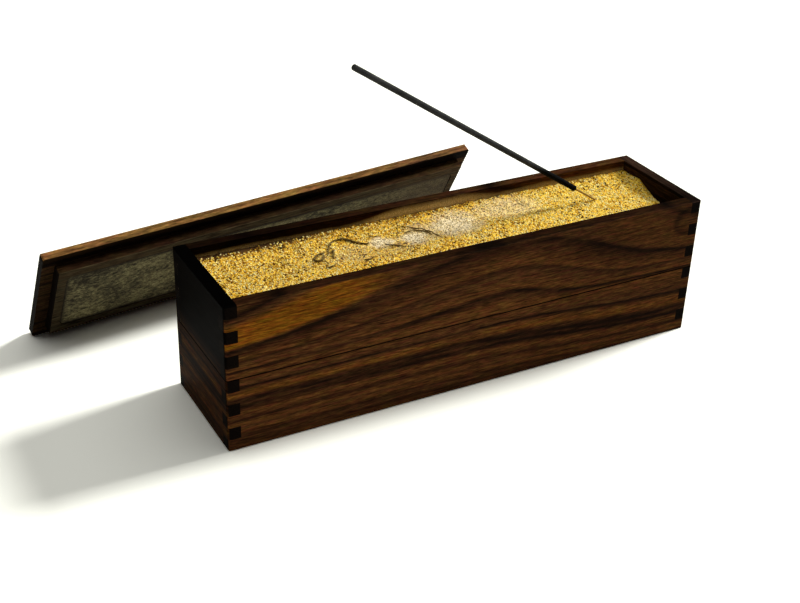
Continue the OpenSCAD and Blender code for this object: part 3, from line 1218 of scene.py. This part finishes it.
    def grains(self, name: str, first: float, last: float) -> Object:
        """Strews loose grains over part of the sand.

        Args:
            name: name of the piece.
            first: where the strip begins along the tray.
            last: where it ends.

        Returns:
            The piece, one mesh with every grain of the strip.
        """
        draw = random.Random(f"{self.seed}{name}")
        shape = bmesh.new()
        bmesh.ops.create_icosphere(shape, subdivisions=1, radius=1.0)
        seed_grain = bpy.data.meshes.new("seed_grain")
        shape.to_mesh(seed_grain)
        shape.clear()
        corners = len(seed_grain.vertices)
        start = [0.0] * (corners * 3)
        seed_grain.vertices.foreach_get("co", start)
        tints = []
        half_x = self.length / 2
        half_y = self.width / 2
        rows = int(self.width / self.spacing)
        columns = int((last - first) / self.spacing)
        for row in range(rows):
            for column in range(columns):
                x = first + (column + draw.uniform(0.0, 1.0)) * self.spacing
                y = -half_y + (row + draw.uniform(0.0, 1.0)) * self.spacing
                size = draw.uniform(*self.grain) * (1.0 + (self.clean_size - 1.0) * self.cleanness(x))
                room = self.wall_clear + size * self.grain_reach
                x = min(max(x, room - half_x), half_x - room)
                y = min(max(y, room - half_y), half_y - room)
                spun = Euler([draw.uniform(0.0, math.tau) for _ in range(3)]).to_matrix().to_4x4()
                radii = [size * draw.uniform(*self.grain_form) * MM for _ in range(3)]
                sunk = draw.uniform(*self.grain_sunk) * size
                tint = self.grain_tint(draw.random(), x, y)
                if math.hypot(x - self.hollow[0], y - self.hollow[1]) < self.hollow[2]:
                    continue
                gone = max(self.ash_covers * self.ash_share(x, y), self.wall_bares * self.wall_shade(x, y))
                if draw.random() < gone:
                    continue
                place = Vector((x, y, self.height(x, y) + sunk)) * MM
                seed_grain.vertices.foreach_set("co", start)
                seed_grain.transform(Matrix.Translation(place) @ spun @ Matrix.Diagonal(radii + [1.0]))
                shape.from_mesh(seed_grain)
                tints.extend([tint] * corners)
        bpy.data.meshes.remove(seed_grain)
        piece = finish_mesh(name, shape, False)
        self.mark(piece, tints)
        return piece

    def ash_threads(self) -> Object:
        """Lays the curled threads of ash on the sand, thin at their ends and rough all along.

        Returns:
            The piece, one mesh with all the threads.
        """
        strands = bpy.data.curves.new("ash_strands", "CURVE")
        strands.dimensions = "3D"
        strands.bevel_depth = MM / 2
        strands.bevel_resolution = 1
        strands.use_fill_caps = True
        strands.resolution_u = 8
        for thread in self.threads:
            last = len(thread.route) - 1
            spline = strands.splines.new("NURBS")
            spline.points.add(last)
            spline.use_endpoint_u = True
            spline.order_u = 3
            for number, (knot, (x, y)) in enumerate(zip(spline.points, thread.route)):
                knot.co = (x * MM, y * MM, (self.height(x, y) + self.thread_over) * MM, 1.0)
                end = self.thread_end if number in (0, last) else 1.0
                knot.radius = self.thread_radius * thread.thick * end
        holder = bpy.data.objects.new("ash_strands", strands)
        tubes = bpy.data.meshes.new_from_object(holder)
        bpy.data.objects.remove(holder)
        bpy.data.curves.remove(strands)
        shape = bmesh.new()
        shape.from_mesh(tubes)
        bpy.data.meshes.remove(tubes)
        bmesh.ops.remove_doubles(shape, verts=shape.verts, dist=SAME_POINT)
        # Blender takes the offsets of vector noise from the clock unless they have a seed
        noise.seed_set(self.thread_seed)
        for point in shape.verts:
            for size, most in self.thread_rough:
                point.co += noise.noise_vector(point.co / (size * MM)) * most * MM
        bmesh.ops.recalc_face_normals(shape, faces=shape.faces)
        return finish_mesh("ash_threads", shape, False)

    def build(self) -> Iterable[Object]:
        """Makes and dresses the sand and the ash.

        Returns:
            The pieces, riding on the tray.
        """
        sand = self.finish.material("golden_quartz_sand")
        ash = self.fallen_ash.material("fallen_incense_ash")
        heap = self.bed()
        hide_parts("sand_bed")
        half = self.length / 2
        left = self.grains("sand_grains_left", -half, 0.0)
        right = self.grains("sand_grains_right", 0.0, half)
        pieces = [heap, left, right]
        for piece in pieces:
            dress(piece, sand)
        threads = self.ash_threads()
        dress(threads, ash)
        pieces.append(threads)
        for piece in pieces:
            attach(piece, "sand_tray")
        return pieces


@dataclass
class Lid:
    """The lid that leans behind the box, underside to the front: rabbeted walnut with slate let in."""

    seat: tuple[float, float, float] = (-53.0, 109.75, 28.735)
    tilt: float = -63.0
    yaw: float = 7.4
    # where the board's grain begins, seen from the seat
    grain_from: tuple[float, float, float] = (10.0, 0.0, -61.5)
    slate_length: float = 239.9
    slate_width: float = 40.9
    slate_face: float = -5.5
    slate_back: float = -1.55
    slate_corner: float = 3.7
    slate_cell: float = 1.6
    # the cleft face: its depth, the size of its swells along and across, the steps in a swell, its mean
    # depth as a share, and the shares of the swells and the steps
    cleft: float = 0.55
    cleft_mm: tuple[float, float] = (22.0, 16.0)
    cleft_steps: float = 3.0
    cleft_mean: float = 0.45
    cleft_shares: tuple[float, float] = (0.35, 0.3)
    # the edges are worn down by this much and as much unevenness, in chips of this size
    worn: float = 0.1
    chip_mm: float = 3.0
    edge_mm: float = 0.2
    # painted shade darkens the underside, lighter towards the right end by painted light
    walnut: Walnut = Walnut(smoke_and_shade=0.2)
    slate: Slate = Slate()

    def frame_matrix(self) -> Matrix:
        """Turns the lid's own frame, in metres, into the part's frame."""
        turn = Euler((math.radians(self.tilt), 0.0, math.radians(self.yaw))).to_matrix().to_4x4()
        return Matrix.Translation(Vector(self.seat) * MM) @ turn

    def lay(self) -> BoardLay:
        """Says how the board was cut: the grain runs along the lid, with the rings stacked across its width.

        Returns:
            Its place on the plank.
        """
        turn = self.frame_matrix().to_3x3() @ Matrix.Rotation(-math.pi / 2, 3, "X")
        middle = Vector(self.seat) + turn @ Vector(self.grain_from)
        # the tone is raised so that the lit top edge shows golden, and painted shade darkens the underside
        # again, almost black on the rim's underside
        return BoardLay(
            tuple(middle), tuple(turn.to_euler()), cut=21.4, crown=0.35, shade=1.38, yellow=0.013, rich=0.92,
            shade_below=35.2, inner_depth=0.0, rubbed_depth=5.0, clear=(1.0, 1.9),
        )

    def tile(self) -> Object:
        """Splits the slate tile: an uneven face and ragged edges, within the recess.

        Returns:
            The piece, in place of the CAD solid.
        """
        shape = bmesh.new()
        bmesh.ops.create_grid(
            shape,
            x_segments=int(self.slate_length / self.slate_cell),
            y_segments=int(self.slate_width / self.slate_cell),
            size=0.5,
        )
        bmesh.ops.scale(shape, vec=(self.slate_length, self.slate_width, 1.0), verts=shape.verts)
        border = [edge for edge in shape.edges if edge.is_boundary]
        rim = {point for edge in border for point in edge.verts}
        inner = Vector((self.slate_length / 2 - self.slate_corner, self.slate_width / 2 - self.slate_corner))
        swells, steps = self.cleft_shares
        for point in shape.verts:
            x, y = point.co.x, point.co.y
            past = Vector((max(abs(x) - inner.x, 0.0), max(abs(y) - inner.y, 0.0)))
            if past.x and past.y and past.length > self.slate_corner:
                past = past * (self.slate_corner / past.length)
                point.co.x = math.copysign(inner.x + past.x, x)
                point.co.y = math.copysign(inner.y + past.y, y)
            swell = noise.fractal(Vector((x / self.cleft_mm[0], y / self.cleft_mm[1], 4.0)), 1.0, 2.0, 4)
            step = math.floor(swell * self.cleft_steps) / self.cleft_steps
            split = part_way(self.cleft_mean + swells * swell + steps * step, 0.0, 1.0)
            point.co.z = self.slate_face + self.cleft * split
            if point in rim:
                chipped = noise.noise(Vector((x / self.chip_mm, y / self.chip_mm, 1.0)))
                point.co.z += self.worn + self.worn * chipped
        sides = bmesh.ops.extrude_edge_only(shape, edges=border)["geom"]
        for item in sides:
            if isinstance(item, bmesh.types.BMVert):
                item.co.z = self.slate_back
        back = [item for item in sides if isinstance(item, bmesh.types.BMEdge) and item.is_boundary]
        bmesh.ops.contextual_create(shape, geom=back)
        bmesh.ops.recalc_face_normals(shape, faces=shape.faces)
        bmesh.ops.scale(shape, vec=(MM, MM, MM), verts=shape.verts)
        bmesh.ops.transform(shape, matrix=self.frame_matrix(), verts=shape.verts)
        return finish_mesh("cleft_slate", shape, False)

    def build(self) -> Iterable[Object]:
        """Dresses the board and makes the slate.

        Returns:
            The pieces of the lid.
        """
        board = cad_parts["lid_board"]
        ease_edges(board, self.edge_mm)
        dress(board, self.walnut.material("oiled_walnut_lid", self.lay()))
        tile = self.tile()
        dress(tile, self.slate.material("cleft_slate_stone", BoardLay(self.seat, self.lay().turn)))
        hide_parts("slate_tile")
        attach(tile, "lid")
        return [board, tile]


@dataclass
class IncenseStick:
    """A stick of incense leaning in the sand: pressed paste on a bamboo splint."""

    entry: tuple[float, float, float] = (92.225, 5.0, 68.02)
    rise: float = 33.0
    paste: Powder = Powder("#232322", "#424240", 9.0, 0.6, (91.0, 95.5))
    bamboo: Bamboo = Bamboo()

    def build(self) -> Iterable[Object]:
        """Dresses the CAD model's splint and its coat.

        Returns:
            The pieces of the stick.
        """
        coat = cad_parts["incense_coat"]
        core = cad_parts["bamboo_core"]
        dress(coat, self.paste.material("pressed_incense_paste"))
        lay = BoardLay(self.entry, (0.0, math.radians(self.rise), 0.0))
        dress(core, self.bamboo.material("split_bamboo", lay))
        return [coat, core]


@dataclass
class Studio:
    """White paper floor, a lamp from the right, a soft one above, a weak sky and the photograph's camera."""

    floor_size: float = 3.0
    # the paper's own colour, and what the camera sees of it, exposed until it is white
    paper: str = "#eeeeec"
    floor_seen: tuple[float, float, float] = (1.3, 1.3, 1.17)
    key_from: tuple[float, float, float] = (0.8, 0.06, 0.6)
    key_strength: float = 3.7
    key_softness: float = 12.0
    top_from: tuple[float, float, float] = (0.1, 0.1, 0.99)
    top_strength: float = 1.2
    top_softness: float = 70.0
    sky: float = 0.03
    lens: float = 60.02
    sensor_width: float = 36.0
    clip_start: float = 0.01
    camera_mm: tuple[float, float, float] = (-308.76, -503.70, 363.95)
    azimuth: float = -29.27
    elevation: float = 29.47
    roll: float = 2.046

    def floor(self) -> Object:
        """Lays the paper floor. The camera and mirrors see it white, and its bounce stays that of paper.

        Returns:
            The floor.
        """
        shape = bmesh.new()
        bmesh.ops.create_grid(shape, x_segments=2, y_segments=2, size=self.floor_size)
        sheet = finish_mesh("paper_floor", shape, False)
        material, tree = new_material("white_paper")
        rays = add_node(tree, "LightPath")
        seen = rays["Is Camera Ray"]
        for ray in ("Is Glossy Ray", "Is Transmission Ray"):
            seen = add_node(tree, "Math", (seen, rays[ray]), operation="MAXIMUM")[0]
        bounce = add_node(tree, "BsdfDiffuse", {"Color": linear(self.paper)})[0]
        white = add_node(tree, "BsdfDiffuse", {"Color": (*self.floor_seen, 1.0)})[0]
        mixed = add_node(tree, "MixShader", (seen, bounce, white))[0]
        add_node(tree, "OutputMaterial", {"Surface": mixed})
        dress(sheet, material)
        return sheet

    def light(self) -> None:
        """Hangs the lamps and sets the sky."""
        lamps = (
            ("key_lamp", self.key_from, self.key_strength, self.key_softness),
            ("top_lamp", self.top_from, self.top_strength, self.top_softness),
        )
        for name, origin, strength, softness in lamps:
            lamp = bpy.data.lights.new(name, "SUN")
            lamp.energy = strength
            lamp.angle = math.radians(softness)
            holder = bpy.data.objects.new(name, lamp)
            holder.rotation_euler = Vector(origin).to_track_quat("Z", "Y").to_euler()
            bpy.context.scene.collection.objects.link(holder)
        world = bpy.data.worlds.new("studio_sky")
        world.use_nodes = True
        tree = world.node_tree
        tree.nodes.clear()
        rays = add_node(tree, "LightPath")
        either = (rays["Is Camera Ray"], rays["Is Transmission Ray"])
        seen = add_node(tree, "Math", either, operation="MAXIMUM")[0]
        strength = add_node(tree, "MapRange", (seen, 0.0, 1.0, self.sky, 1.0))[0]
        sky = add_node(tree, "Background", {"Color": (1.0, 1.0, 1.0, 1.0), "Strength": strength})[0]
        add_node(tree, "OutputWorld", {"Surface": sky})
        bpy.context.scene.world = world

    def camera(self) -> None:
        """Sets up the camera at the photograph's viewpoint, tipped by its small roll."""
        azimuth, elevation, roll = (math.radians(a) for a in (self.azimuth, self.elevation, self.roll))
        flat = math.cos(elevation)
        back = Vector((math.sin(azimuth) * flat, -math.cos(azimuth) * flat, math.sin(elevation)))
        right = Vector((0, 0, 1)).cross(back).normalized()
        above = back.cross(right)
        right, above = (
            math.cos(roll) * right + math.sin(roll) * above,
            math.cos(roll) * above - math.sin(roll) * right,
        )
        lens = bpy.data.cameras.new("photo_camera")
        lens.sensor_fit = "HORIZONTAL"
        lens.sensor_width = self.sensor_width
        lens.lens = self.lens
        lens.clip_start = self.clip_start
        holder = bpy.data.objects.new("photo_camera", lens)
        turn = Matrix((right, above, back)).transposed().to_4x4()
        holder.matrix_world = Matrix.Translation(Vector(self.camera_mm) * MM) @ turn
        bpy.context.scene.collection.objects.link(holder)
        bpy.context.scene.camera = holder

    def build(self) -> Iterable[Object]:
        """Sets up the studio.

        Returns:
            The floor.
        """
        self.camera()
        self.light()
        bpy.context.scene.view_settings.view_transform = "Standard"
        return [self.floor()]


def main() -> None:
    """Builds and dresses the sub-assemblies in order and reports each piece."""
    logging.basicConfig(level=logging.INFO, format="%(message)s")
    assemblies = (
        Studio(),
        Section("storage", cut=0.0),
        Section("tray", cut=6.0, rim_mm=76.2, inner_mm=(25.9, 125.4), sand_mm=69.0),
        SandFill(),
        Lid(),
        IncenseStick(),
    )
    for assembly in assemblies:
        for piece in assembly.build():
            LOG.info("%s: %s, %d points", type(assembly).__name__, piece.name, len(piece.data.vertices))


if __name__ == "__main__":
    main()
